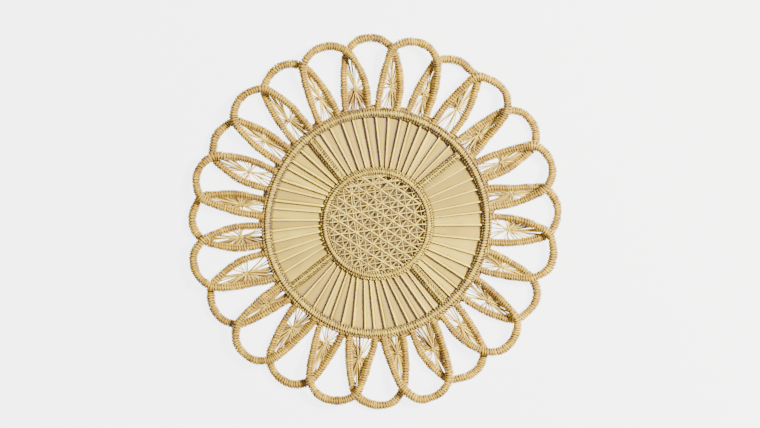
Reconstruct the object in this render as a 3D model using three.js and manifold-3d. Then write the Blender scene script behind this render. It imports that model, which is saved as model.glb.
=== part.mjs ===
// A round lace-edged placemat of palm leaf and straw, lying flat on a table.
// Millimetres, +Z up, the table at z = 0, the origin under the middle of the mat's outline.
// A wrapped hub ring holds a leaf disc with a straw lattice over it. Four leaf panels with folded
// ribs fill the space out to a wrapped rim ring, between four wrapped spokes. Outside the rim,
// 24 wrapped loops cross their neighbours, and a straw star fills each lens that two loops share.
import * as THREE from "three";
import { mergeVertices } from "three/addons/utils/BufferGeometryUtils.js";
import Module from "manifold-3d";

const wasm = await Module();
wasm.setup();

// Driving sizes
const GAP = 0.35;
const RING_GAP = 0.6;
const STEPS_PER_LOOP = 22;
const STRAW = { color: 0xd2b27a, roughness: 0.75, metalness: 0 };
const WRAP = { color: 0xc9a76c, roughness: 0.7, metalness: 0 };
const LEAF = { color: 0xd9c48f, roughness: 0.6, metalness: 0 };

// The two rings aren't quite concentric with the loops. Radii are to the edges of the wrapping.
const hub = { x: 1.05, y: -2.3, inside: 50.1, outside: 55.9, height: 6, segments: 44, wave: [] };
const rim = {
  x: 1.8, y: -1.8, inside: 108.2, shoulder: 114.3, outside: 117.2, height: 6, segments: 72,
  // How far the hand-wound ring strays outward from its circle, every 15 degrees from +X.
  wave: [-1.1, -0.4, 0, 0.1, 0.2, 0.3, 0.3, 0.2, 0, -0.3, -0.6, -0.5, 0.4, 1, 0.6,
    -0.1, 0.2, 0.7, 0.2, -1.5, -3, -3.4, -3, -2.4],
};
const loopCord = { width: 7, height: 4.8, flat: 3.8 };
const spokeCord = { width: 6.4, height: 5.6, flat: 2.8 };
const panel = { bottom: 0.8, low: 1.7, high: 2.2, ribHeight: 1.1, ribWidth: 1.9 };
const backing = { thickness: 1, segments: 48 };
// The lattice repeats by two steps, and every strand passes through nodes. One node is near the middle.
const lattice = {
  bottom: 3.6, thickness: 1.1, strand: 1.5, hoop: 1.3,
  down: { x: 16.84, y: -11.26 }, up: { x: 13.32, y: 15.24 }, node: { x: 1.2, y: 0.3 },
};
const star = { bottom: 2.1, thickness: 0.9, halfWidth: 0.5, knot: 1.7 };

// Heights of a loop's middle line: the odd loops lie over the even ones at every crossing.
const underHeights = { foot: 2.4, waist: 2.4, neck: 2.4, cross: 2.4, shoulder: 2.4, apex: 2.4 };
const overHeights = { foot: 2.8, waist: 3.6, neck: 6.9, cross: 8, shoulder: 7.1, apex: 5.9 };

// Spokes: degrees round the mat at the rim and at the hub.
const SPOKES = [
  { rim: 38.8, hub: 38.3 },
  { rim: 128.9, hub: 128.4 },
  { rim: 217.9, hub: 217.7 },
  { rim: 309.9, hub: 309.6 },
];

// Ribs of the leaf panel that follows each spoke: [degrees at the rim, degrees at the hub].
const RIBS = [
  [[45.7, 45.6], [52.9, 50.5], [59.5, 56], [65, 61.5], [71.2, 67.5], [76.5, 75], [83.2, 79.7],
    [90.2, 84], [96.6, 92.7], [103, 100.2], [109, 107.7], [116.2, 115], [122.2, 120.5]],
  [[136.8, 135.5], [144.4, 141], [149, 147], [156.4, 151.2], [161.4, 156], [168.6, 164], [173, 170.4],
    [179.4, 179.3], [185.6, 184.6], [191.8, 190.6], [197.6, 196.8], [203.2, 201.6], [209.4, 206.4]],
  [[226.2, 224.6], [234, 229.6], [240.2, 235], [245.2, 240.6], [251.6, 246.8], [257.8, 251.4],
    [264.2, 258.4], [269.2, 264], [275, 269.8], [281.4, 275.6], [288.2, 281.2], [293.6, 288],
    [299.2, 294.6], [303.8, 302]],
  [[314.6, 314.8], [320.6, 320.4], [326.8, 327.2], [334, 332], [341.4, 339.6], [349.8, 346], [357.8, 355.6],
    [364.8, 363.4], [370.4, 369.8], [377.2, 377.6], [383.6, 383.4], [390.8, 391.6]],
];

// One row for each crossing of two loops, counter-clockwise: where they cross, the angles of the lens's
// two sides at its waist and at the rim, the top of the loop that starts here, and the lens's knot.
// Angles in degrees, radii in mm from the middle of the mat.
const COLUMNS = ["cross", "crossR", "waistA", "waistB", "footA", "footB", "apex", "apexR", "knot", "knotR"];
const CROSSINGS = [
  [11.0, 175.8, 7.5, 13.8, 7.0, 16.0, 18.8, 188.0, 11.3, 140.2],
  [25.5, 178.8, 21.5, 29.0, 21.3, 30.0, 32.2, 188.5, 25.2, 141.2],
  [40.3, 174.8, 36.7, 43.0, 34.6, 44.0, 47.7, 186.9, 39.8, 137.2],
  [54.8, 179.8, 49.8, 58.5, 48.8, 59.4, 61.4, 183.9, 54.2, 141.2],
  [69.0, 174.8, 65.3, 72.0, 64.5, 73.1, 76.6, 186.9, 68.8, 138.2],
  [84.2, 175.8, 79.7, 87.3, 79.0, 88.6, 91.8, 186.9, 83.2, 138.2],
  [99.5, 174.8, 94.3, 103.0, 93.6, 104.8, 107.0, 184.9, 98.8, 135.1],
  [115.0, 173.7, 111.0, 118.0, 109.5, 119.5, 122.5, 184.9, 114.2, 137.2],
  [130.2, 175.8, 126.0, 134.0, 125.3, 135.4, 137.6, 185.4, 130.5, 135.1],
  [144.5, 175.8, 140.8, 147.8, 140.1, 148.4, 152.0, 183.9, 143.9, 139.2],
  [158.3, 177.8, 154.0, 163.0, 153.5, 163.3, 165.3, 187.5, 158.4, 137.2],
  [172.0, 178.8, 168.7, 176.0, 168.7, 177.0, 179.2, 186.4, 172.8, 138.2],
  [186.2, 175.8, 182.3, 191.0, 182.0, 191.8, 194.1, 189.5, 186.5, 137.2],
  [201.5, 178.8, 196.3, 206.5, 196.0, 209.0, 208.6, 186.9, 201.8, 141.2],
  [216.8, 174.8, 214.2, 220.0, 213.7, 221.7, 225.0, 189.0, 217.3, 138.2],
  [232.5, 176.8, 228.0, 236.6, 226.5, 238.0, 240.0, 186.9, 232.1, 137.2],
  [247.7, 174.8, 244.0, 251.5, 242.1, 253.0, 255.3, 186.9, 247.5, 134.1],
  [263.5, 176.8, 259.0, 267.3, 257.6, 269.5, 271.6, 186.9, 263.1, 139.2],
  [279.5, 171.7, 276.0, 282.5, 274.2, 283.3, 287.6, 187.5, 279.3, 135.1],
  [295.0, 176.8, 289.3, 298.7, 288.5, 300.0, 302.0, 183.4, 294.3, 142.2],
  [310.0, 171.7, 305.8, 312.8, 305.2, 314.0, 317.8, 184.4, 309.3, 136.1],
  [325.3, 174.8, 320.5, 328.7, 319.2, 330.2, 332.5, 181.9, 324.6, 139.2],
  [340.2, 168.7, 337.3, 343.3, 335.5, 344.9, 348.7, 183.9, 340.4, 135.1],
  [356.0, 176.8, 351.3, 361.0, 350.0, 362.2, 363.5, 185.9, 356.3, 135.1],
].map((row) => Object.fromEntries(row.map((value, i) => [COLUMNS[i], value])));
const WAIST_R = 142.2;
const LEAD = 5;
const NECK_DOWN = 0.4;
const NECK_OUT = 0.5;
const SHOULDER_ALONG = 0.5;
const SHOULDER_DROP = 2.3;

const mat = new THREE.Group();

function addPiece(name, geometry, look) {
  const piece = new THREE.Mesh(geometry, new THREE.MeshStandardMaterial(look));
  piece.name = name;
  mat.add(piece);
  return piece;
}

function twoDigits(number) {
  return String(number).padStart(2, "0");
}

function direction(degrees) {
  const turn = THREE.MathUtils.degToRad(degrees);
  return new THREE.Vector2(Math.cos(turn), Math.sin(turn));
}

// How far a ring strays from its circle at an angle round its own middle, blended smoothly.
function strayOf(ring, degrees) {
  const count = ring.wave.length;
  if (count === 0) {
    return 0;
  }
  const place = (((degrees % 360) + 360) % 360) / (360 / count);
  const first = Math.floor(place) % count;
  const share = place - Math.floor(place);
  const ease = share * share * (3 - 2 * share);
  return THREE.MathUtils.lerp(ring.wave[first], ring.wave[(first + 1) % count], ease);
}

// The point where the line from the mat's middle at that angle meets a line at that radius of a ring.
function onCircle(degrees, ring, radius) {
  const middle = new THREE.Vector2(ring.x, ring.y);
  const inLine = direction(degrees).dot(middle);
  let point = direction(degrees);
  for (let round = 0; round < 4; round += 1) {
    const turn = THREE.MathUtils.radToDeg(Math.atan2(point.y - middle.y, point.x - middle.x));
    const reach = radius + strayOf(ring, turn);
    const length = inLine + Math.sqrt(reach ** 2 - middle.lengthSq() + inLine ** 2);
    point = direction(degrees).multiplyScalar(length);
  }
  return point;
}

function toSolid(geometry) {
  const bare = new THREE.BufferGeometry().setAttribute("position", geometry.getAttribute("position"));
  bare.setIndex(geometry.index);
  const merged = mergeVertices(bare, 1e-4);
  const vertProperties = merged.attributes.position.array;
  const triVerts = new Uint32Array(merged.index.array);
  return new wasm.Manifold(new wasm.Mesh({ numProp: 3, vertProperties, triVerts }));
}

function toGeometry(solid) {
  const mesh = solid.getMesh();
  const geometry = new THREE.BufferGeometry();
  geometry.setAttribute("position", new THREE.BufferAttribute(mesh.vertProperties, 3));
  geometry.setIndex(new THREE.BufferAttribute(mesh.triVerts, 1));
  geometry.computeVertexNormals();
  return geometry;
}

// Wrapped rings: a closed outline of [radius, height] points turned round the ring's own middle.
function ringGeometry(outline, ring) {
  const points = outline.map(([radius, z]) => new THREE.Vector2(radius, z));
  points.push(points[0].clone());
  const geometry = new THREE.LatheGeometry(points, ring.segments);
  geometry.rotateX(Math.PI / 2);
  const places = geometry.getAttribute("position");
  for (let i = 0; i < places.count; i += 1) {
    const spot = new THREE.Vector2(places.getX(i), places.getY(i));
    const turn = THREE.MathUtils.radToDeg(Math.atan2(spot.y, spot.x));
    spot.setLength(spot.length() + strayOf(ring, turn));
    places.setXY(i, spot.x, spot.y);
  }
  geometry.computeVertexNormals();
  return geometry;
}

function addRings() {
  const bevel = 1.5;
  const hubOutline = [
    [hub.inside + bevel, 0],
    [hub.outside - bevel, 0],
    [hub.outside, bevel],
    [hub.outside, hub.height - bevel],
    [hub.outside - bevel, hub.height],
    [hub.inside + bevel, hub.height],
    [hub.inside, hub.height - bevel],
    [hub.inside, bevel],
  ];
  const ledgeTop = 4;
  const rimOutline = [
    [rim.inside + bevel, 0],
    [rim.shoulder, 0],
    [rim.outside, bevel],
    [rim.outside, ledgeTop - 0.8],
    [rim.outside - bevel, ledgeTop],
    [rim.shoulder, ledgeTop + 0.3],
    [rim.shoulder - bevel, rim.height],
    [rim.inside + bevel, rim.height],
    [rim.inside, rim.height - bevel],
    [rim.inside, bevel],
  ];
  addPiece("hub_ring", ringGeometry(hubOutline, hub), WRAP).position.set(hub.x, hub.y, 0);
  addPiece("rim_ring", ringGeometry(rimOutline, rim), WRAP).position.set(rim.x, rim.y, 0);
}

// Leaf disc under the lattice, lying on the table inside the hub ring.
function addBacking() {
  const radius = hub.inside - 0.2;
  const disc = new THREE.CylinderGeometry(radius, radius, backing.thickness, backing.segments);
  disc.rotateX(Math.PI / 2);
  addPiece("centre_backing", disc, LEAF).position.set(hub.x, hub.y, backing.thickness / 2);
}

// Straw lattice: strands along both steps and along their sum, fused where they cross, in a stitched hoop.
function addLattice() {
  const { thickness, strand } = lattice;
  const radius = hub.inside - 0.5;
  const down = new THREE.Vector2(lattice.down.x, lattice.down.y);
  const up = new THREE.Vector2(lattice.up.x, lattice.up.y);
  const families = [
    { along: down, step: up },
    { along: up, step: down },
    { along: down.clone().add(up), step: down },
  ];
  const strands = [];
  for (const { along, step } of families) {
    const side = new THREE.Vector2(-along.y, along.x).normalize();
    for (let i = -5; i <= 5; i += 1) {
      const node = new THREE.Vector2(lattice.node.x, lattice.node.y).addScaledVector(step, i);
      const offset = node.dot(side);
      if (Math.abs(offset) < radius - 4) {
        const bar = new THREE.BoxGeometry(2.2 * radius, strand, thickness);
        bar.translate(0, offset, 0);
        bar.rotateZ(along.angle());
        strands.push(toSolid(bar));
      }
    }
  }
  const disc = new THREE.CylinderGeometry(radius, radius, thickness, backing.segments);
  const hole = new THREE.CylinderGeometry(
    radius - lattice.hoop, radius - lattice.hoop, 2 * thickness, backing.segments,
  );
  disc.rotateX(Math.PI / 2);
  hole.rotateX(Math.PI / 2);
  const hoop = toSolid(disc).subtract(toSolid(hole));
  const net = wasm.Manifold.union(strands).intersect(toSolid(disc)).add(hoop);
  addPiece("centre_lattice", toGeometry(net), STRAW)
    .position.set(hub.x, hub.y, lattice.bottom + thickness / 2);
}

// Wrapped spokes from the hub ring to the rim ring.
function spokeLine(spoke) {
  const inner = onCircle(spoke.hub, hub, hub.outside + RING_GAP);
  const outer = onCircle(spoke.rim, rim, rim.inside - RING_GAP);
  return { inner, outer };
}

function cordSection({ width, height, flat }) {
  const half = height / 2;
  return new THREE.Shape([
    new THREE.Vector2(0, -width / 2),
    new THREE.Vector2(half, -flat / 2),
    new THREE.Vector2(half, flat / 2),
    new THREE.Vector2(0, width / 2),
    new THREE.Vector2(-half, flat / 2),
    new THREE.Vector2(-half, -flat / 2),
  ]);
}

function addSpokes() {
  SPOKES.forEach((spoke, i) => {
    const { inner, outer } = spokeLine(spoke);
    const z = spokeCord.height / 2;
    const path = new THREE.LineCurve3(
      new THREE.Vector3(inner.x, inner.y, z),
      new THREE.Vector3(outer.x, outer.y, z),
    );
    const geometry = new THREE.ExtrudeGeometry(cordSection(spokeCord), { steps: 1, extrudePath: path });
    addPiece(`spoke_${i + 1}`, geometry, WRAP);
  });
}

// Leaf panels: a thin slab between two spokes, its top rising gently to each folded rib.
function slabGeometry(stations, bottom) {
  const positions = [];
  const corner = (point, z) => [point.x, point.y, z];
  const quad = (a, b, c, d) => positions.push(...a, ...b, ...c, ...a, ...c, ...d);
  for (let i = 0; i + 1 < stations.length; i += 1) {
    const here = stations[i];
    const next = stations[i + 1];
    const [inA, outA] = [corner(here.inner, here.z), corner(here.outer, here.z)];
    const [inB, outB] = [corner(next.inner, next.z), corner(next.outer, next.z)];
    const [inALow, outALow] = [corner(here.inner, bottom), corner(here.outer, bottom)];
    const [inBLow, outBLow] = [corner(next.inner, bottom), corner(next.outer, bottom)];
    quad(inA, outA, outB, inB);
    quad(inALow, inBLow, outBLow, outALow);
    quad(inA, inB, inBLow, inALow);
    quad(outA, outALow, outBLow, outB);
    if (i === 0) {
      quad(inA, inALow, outALow, outA);
    }
    if (i + 2 === stations.length) {
      quad(inB, outB, outBLow, inBLow);
    }
  }
  const geometry = new THREE.BufferGeometry();
  geometry.setAttribute("position", new THREE.Float32BufferAttribute(positions, 3));
  geometry.computeVertexNormals();
  return geometry;
}

function shifted({ inner, outer }, sideways, z) {
  const along = outer.clone().sub(inner).normalize();
  const shift = new THREE.Vector2(-along.y, along.x).multiplyScalar(sideways);
  return { inner: inner.clone().add(shift), outer: outer.clone().add(shift), z };
}

function addPanels() {
  const half = panel.ribWidth / 2;
  RIBS.forEach((ribs, i) => {
    const clear = spokeCord.width / 2 + GAP;
    const first = shifted(spokeLine(SPOKES[i]), clear, panel.low);
    const last = shifted(spokeLine(SPOKES[(i + 1) % SPOKES.length]), -clear, panel.high);
    const stations = [first];
    for (const [atRim, atHub] of ribs) {
      const line = {
        inner: onCircle(atHub, hub, hub.outside + RING_GAP),
        outer: onCircle(atRim, rim, rim.inside - RING_GAP),
      };
      stations.push(shifted(line, -half, panel.high));
      stations.push(shifted(line, 0, panel.high + panel.ribHeight));
      stations.push(shifted(line, half, panel.low));
    }
    stations.push(last);
    addPiece(`leaf_panel_${i + 1}`, slabGeometry(stations, panel.bottom), LEAF);
  });
}

// Wrapped loops: from one foot on the rim, through two crossings, back to the rim.
function pointAt(degrees, radius, z) {
  const flat = direction(degrees).multiplyScalar(radius);
  return new THREE.Vector3(flat.x, flat.y, z);
}

// One side of a loop, from its foot up to its shoulder.
function loopSide(row, side, apex, apexR, heights) {
  const footAngle = row[`foot${side}`];
  const nearby = [-3, -1.5, 0, 1.5, 3].map((turn) => strayOf(rim, footAngle + turn));
  const clear = rim.outside + GAP + Math.max(...nearby) - strayOf(rim, footAngle);
  const foot = onCircle(footAngle, rim, clear);
  const lead = onCircle(footAngle, rim, clear + LEAD);
  const waist = row[`waist${side}`];
  const neckR = THREE.MathUtils.lerp(row.crossR, WAIST_R, NECK_DOWN);
  return [
    new THREE.Vector3(foot.x, foot.y, heights.foot),
    new THREE.Vector3(lead.x, lead.y, heights.foot),
    pointAt(waist, WAIST_R, heights.waist),
    pointAt(THREE.MathUtils.lerp(row.cross, waist, NECK_OUT), neckR, heights.neck),
    pointAt(row.cross, row.crossR, heights.cross),
    pointAt(THREE.MathUtils.lerp(row.cross, apex, SHOULDER_ALONG), apexR - SHOULDER_DROP, heights.shoulder),
  ];
}

function loopCurve(i) {
  const start = CROSSINGS[i];
  const next = CROSSINGS[(i + 1) % CROSSINGS.length];
  const heights = i % 2 === 0 ? overHeights : underHeights;
  const apexFromNext = start.apex > next.cross + 180 ? start.apex - 360 : start.apex;
  const up = loopSide(start, "A", start.apex, start.apexR, heights);
  const down = loopSide(next, "B", apexFromNext, start.apexR, heights);
  const apex = pointAt(start.apex, start.apexR, heights.apex);
  return new THREE.CatmullRomCurve3([...up, apex, ...down.reverse()], false, "centripetal");
}

const loopCurves = CROSSINGS.map((_, i) => loopCurve(i));

function addLoops() {
  const section = cordSection(loopCord);
  loopCurves.forEach((curve, i) => {
    const geometry = new THREE.ExtrudeGeometry(section, { steps: STEPS_PER_LOOP, extrudePath: curve });
    addPiece(`loop_${twoDigits(i + 1)}`, geometry, WRAP);
  });
}

// Straw stars: strands from a knot to the rim, to the lens's tip and to its two sides.
function starOutline(row, i) {
  const lastLoop = loopCurves[(i + CROSSINGS.length - 1) % CROSSINGS.length];
  const sides = [...loopCurves[i].getPoints(120), ...lastLoop.getPoints(120)];
  const knot = direction(row.knot).multiplyScalar(row.knotR);
  const rimMiddle = new THREE.Vector2(rim.x, rim.y);
  const rimTurn = (x, y) => THREE.MathUtils.radToDeg(Math.atan2(y - rimMiddle.y, x - rimMiddle.x));
  const rimEdge = (x, y) => rim.outside + GAP + strayOf(rim, rimTurn(x, y));
  const clear = (x, y) => Math.hypot(x - rimMiddle.x, y - rimMiddle.y) > rimEdge(x, y)
    && sides.every((point) => Math.hypot(x - point.x, y - point.y) > loopCord.width / 2 + 2 * GAP);
  const reach = (along) => {
    const across = new THREE.Vector2(-along.y, along.x).multiplyScalar(star.halfWidth);
    let length = star.knot;
    const step = 0.1;
    while (clear(knot.x + along.x * length + across.x, knot.y + along.y * length + across.y)
      && clear(knot.x + along.x * length - across.x, knot.y + along.y * length - across.y)) {
      length += step;
    }
    return length - step;
  };
  const rays = [];
  const span = row.footB - row.footA;
  for (const share of [0.12, 0.37, 0.63, 0.88]) {
    const end = onCircle(row.footA + span * share, rim, rim.outside);
    rays.push(Math.atan2(end.y - knot.y, end.x - knot.x));
  }
  const outward = THREE.MathUtils.degToRad(row.knot);
  for (const turn of [-105, -60, -12, 0, 12, 60, 105]) {
    rays.push(outward + THREE.MathUtils.degToRad(turn));
  }
  const fullTurn = 2 * Math.PI;
  const sorted = rays.map((turn) => ((turn % fullTurn) + fullTurn) % fullTurn).sort((a, b) => a - b);
  const arms = sorted.map((turn) => {
    const along = new THREE.Vector2(Math.cos(turn), Math.sin(turn));
    return { turn, along, length: reach(along) };
  });
  const points = [];
  arms.forEach((arm, n) => {
    const next = arms[(n + 1) % arms.length];
    const halfGap = (((next.turn - arm.turn) + fullTurn) % fullTurn) / 2;
    const across = new THREE.Vector2(-arm.along.y, arm.along.x).multiplyScalar(star.halfWidth);
    const end = knot.clone().addScaledVector(arm.along, arm.length);
    points.push(end.clone().sub(across), end.clone().add(across));
    const meet = Math.max(star.halfWidth / Math.sin(halfGap), star.knot);
    const valley = Math.min(meet, 0.85 * arm.length, 0.85 * next.length);
    const between = arm.along.clone().rotateAround(new THREE.Vector2(), halfGap);
    points.push(knot.clone().addScaledVector(between, valley));
  });
  return new THREE.Shape(points);
}

function addStars() {
  CROSSINGS.forEach((row, i) => {
    const geometry = new THREE.ExtrudeGeometry(starOutline(row, i), {
      depth: star.thickness,
      bevelEnabled: false,
    });
    addPiece(`star_${twoDigits(i + 1)}`, geometry, STRAW).position.z = star.bottom;
  });
}

addBacking();
addLattice();
addRings();
addSpokes();
addPanels();
addLoops();
addStars();

// The origin is under the middle of the whole outline.
const outline = new THREE.Box3().setFromObject(mat);
const middle = outline.getCenter(new THREE.Vector3());
mat.position.set(-middle.x, -middle.y, 0);
mat.updateMatrixWorld(true);

export default mat;
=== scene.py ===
import bisect
import math
import random

import bmesh
import bpy
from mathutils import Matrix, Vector


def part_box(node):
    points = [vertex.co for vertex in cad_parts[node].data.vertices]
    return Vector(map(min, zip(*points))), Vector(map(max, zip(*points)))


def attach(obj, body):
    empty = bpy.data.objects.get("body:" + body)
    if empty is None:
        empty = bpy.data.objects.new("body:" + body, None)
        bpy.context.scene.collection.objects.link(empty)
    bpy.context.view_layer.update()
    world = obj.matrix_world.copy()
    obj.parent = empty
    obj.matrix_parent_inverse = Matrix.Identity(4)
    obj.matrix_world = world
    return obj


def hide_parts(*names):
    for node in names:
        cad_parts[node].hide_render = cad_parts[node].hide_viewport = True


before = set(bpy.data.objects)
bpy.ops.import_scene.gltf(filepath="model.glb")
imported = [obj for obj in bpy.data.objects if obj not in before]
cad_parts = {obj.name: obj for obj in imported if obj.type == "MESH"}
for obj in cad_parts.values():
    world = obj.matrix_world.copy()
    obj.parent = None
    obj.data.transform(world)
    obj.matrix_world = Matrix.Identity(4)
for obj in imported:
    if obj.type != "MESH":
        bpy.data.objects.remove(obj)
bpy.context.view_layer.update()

# The mat in millimetres, seen from above: +X right, +Y away, the table at z = 0.
MM = 0.001
HUB = Vector((1.05, -2.3, 0))
RIM = Vector((1.8, -1.8, 0))
HUB_IN, HUB_OUT = 50.1, 55.9
RIM_IN, RIM_OUT = 108.2, 117.2
# How far the hand-wound rim strays outward from its circle, every 15 degrees from +X.
RIM_WAVE = [-1.1, -0.4, 0, 0.1, 0.2, 0.3, 0.3, 0.2, 0, -0.3, -0.6, -0.5, 0.4, 1, 0.6,
            -0.1, 0.2, 0.7, 0.2, -1.5, -3, -3.4, -3, -2.4]
WAIST_R = 142.2
LEAD = 5.35
NECK_DOWN, NECK_OUT = 0.4, 0.5
SHOULDER_ALONG, SHOULDER_DROP = 0.5, 2.3
UNDER = dict(foot=2.4, waist=2.4, neck=2.4, cross=2.4, shoulder=2.4, apex=2.4)
OVER = dict(foot=2.8, waist=3.4, neck=6.5, cross=7.6, shoulder=6.7, apex=5.4)

# The solids were centred on their outline, so the hub ring tells where the mat's own middle lies.
_low, _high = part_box("hub_ring")
MIDDLE = Vector(((_low[0] + _high[0]) / 2 / MM - HUB.x, (_low[1] + _high[1]) / 2 / MM - HUB.y, 0))

# Degrees at the rim and at the hub.
SPOKES = [(38.8, 38.3), (128.9, 128.4), (217.9, 217.7), (309.9, 309.6)]
RIBS = [
    [(45.7, 45.6), (52.9, 50.5), (59.5, 56), (65, 61.5), (71.2, 67.5), (76.5, 75), (83.2, 79.7),
     (90.2, 84), (96.6, 92.7), (103, 100.2), (109, 107.7), (116.2, 115), (122.2, 120.5)],
    [(136.8, 135.5), (144.4, 141), (149, 147), (156.4, 151.2), (161.4, 156), (168.6, 164), (173, 170.4),
     (179.4, 179.3), (185.6, 184.6), (191.8, 190.6), (197.6, 196.8), (203.2, 201.6), (209.4, 206.4)],
    [(226.2, 224.6), (234, 229.6), (240.2, 235), (245.2, 240.6), (251.6, 246.8), (257.8, 251.4),
     (264.2, 258.4), (269.2, 264), (275, 269.8), (281.4, 275.6), (288.2, 281.2), (293.6, 288),
     (299.2, 294.6), (303.8, 302)],
    [(314.6, 314.8), (320.6, 320.4), (326.8, 327.2), (334, 332), (341.4, 339.6), (349.8, 346),
     (357.8, 355.6), (364.8, 363.4), (370.4, 369.8), (377.2, 377.6), (383.6, 383.4), (390.8, 391.6)],
]
# One row for each crossing of two loops: angle, radius, lens sides at the waist, lens sides at the rim,
# top of the loop that starts here (angle, radius), the lens's knot (angle, radius).
CROSSINGS = [
    (11.0, 175.8, 7.5, 13.8, 7.0, 16.0, 18.8, 188.0, 11.3, 140.2),
    (25.5, 178.8, 21.5, 29.0, 21.3, 30.0, 32.2, 188.5, 25.2, 141.2),
    (40.3, 174.8, 36.7, 43.0, 34.6, 44.0, 47.7, 186.9, 39.8, 137.2),
    (54.8, 179.8, 49.8, 58.5, 48.8, 59.4, 61.4, 183.9, 54.2, 141.2),
    (69.0, 174.8, 65.3, 72.0, 64.5, 73.1, 76.6, 186.9, 68.8, 138.2),
    (84.2, 175.8, 79.7, 87.3, 79.0, 88.6, 91.8, 186.9, 83.2, 138.2),
    (99.5, 174.8, 94.3, 103.0, 93.6, 104.8, 107.0, 184.9, 98.8, 135.1),
    (115.0, 173.7, 111.0, 118.0, 109.5, 119.5, 122.5, 184.9, 114.2, 137.2),
    (130.2, 175.8, 126.0, 134.0, 125.3, 135.4, 137.6, 185.4, 130.5, 135.1),
    (144.5, 175.8, 140.8, 147.8, 140.1, 148.4, 152.0, 183.9, 143.9, 139.2),
    (158.3, 177.8, 154.0, 163.0, 153.5, 163.3, 165.3, 187.5, 158.4, 137.2),
    (172.0, 178.8, 168.7, 176.0, 168.7, 177.0, 179.2, 186.4, 172.8, 138.2),
    (186.2, 175.8, 182.3, 191.0, 182.0, 191.8, 194.1, 189.5, 186.5, 137.2),
    (201.5, 178.8, 196.3, 206.5, 196.0, 209.0, 208.6, 186.9, 201.8, 141.2),
    (216.8, 174.8, 214.2, 220.0, 213.7, 221.7, 225.0, 189.0, 217.3, 138.2),
    (232.5, 176.8, 228.0, 236.6, 226.5, 238.0, 240.0, 186.9, 232.1, 137.2),
    (247.7, 174.8, 244.0, 251.5, 242.1, 253.0, 255.3, 186.9, 247.5, 134.1),
    (263.5, 176.8, 259.0, 267.3, 257.6, 269.5, 271.6, 186.9, 263.1, 139.2),
    (279.5, 171.7, 276.0, 282.5, 274.2, 283.3, 287.6, 187.5, 279.3, 135.1),
    (295.0, 176.8, 289.3, 298.7, 288.5, 300.0, 302.0, 183.4, 294.3, 142.2),
    (310.0, 171.7, 305.8, 312.8, 305.2, 314.0, 317.8, 184.4, 309.3, 136.1),
    (325.3, 174.8, 320.5, 328.7, 319.2, 330.2, 332.5, 181.9, 324.6, 139.2),
    (340.2, 168.7, 337.3, 343.3, 335.5, 344.9, 348.7, 183.9, 340.4, 135.1),
    (356.0, 176.8, 351.3, 361.0, 350.0, 362.2, 363.5, 185.9, 356.3, 135.1),
]
PARTS = ("cross", "cross_r", "waist_a", "waist_b", "foot_a", "foot_b", "apex", "apex_r", "knot", "knot_r")
LENSES = [dict(zip(PARTS, row)) for row in CROSSINGS]

# Camera: straight above, as in the photograph, which is 760 by 428. Its picture's middle is off the mat's.
FRAME_WIDTH_MM = 772.2
FRAME_SHIFT = (4.6, 7.6)
CAMERA_HEIGHT = 1.8
SHARP_HEIGHT = 0.004
SENSOR_WIDTH = 36
camera_data = bpy.data.cameras.new("overhead")
camera = bpy.data.objects.new("overhead", camera_data)
bpy.context.scene.collection.objects.link(camera)
camera.location = ((MIDDLE.x + FRAME_SHIFT[0]) * MM, (MIDDLE.y + FRAME_SHIFT[1]) * MM, CAMERA_HEIGHT)
camera_data.sensor_width = SENSOR_WIDTH
camera_data.lens = SENSOR_WIDTH * (CAMERA_HEIGHT - SHARP_HEIGHT) / (FRAME_WIDTH_MM * MM)
camera_data.clip_end = 10
bpy.context.scene.camera = camera


# Shader maths: expressions on these values add the nodes that work them out.
class Shade:
    def __init__(self, finish, socket):
        self.finish = finish
        self.socket = socket

    def sum(self, operation, first, second):
        return self.finish.node("ShaderNodeMath", {"operation": operation}, {0: first, 1: second})

    def __add__(self, other):
        return self.sum("ADD", self, other)

    def __radd__(self, other):
        return self.sum("ADD", other, self)

    def __sub__(self, other):
        return self.sum("SUBTRACT", self, other)

    def __rsub__(self, other):
        return self.sum("SUBTRACT", other, self)

    def __mul__(self, other):
        return self.sum("MULTIPLY", self, other)

    def __rmul__(self, other):
        return self.sum("MULTIPLY", other, self)


# Dry straw and leaf shine little.
DRY_SHINE = 0.13


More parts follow.
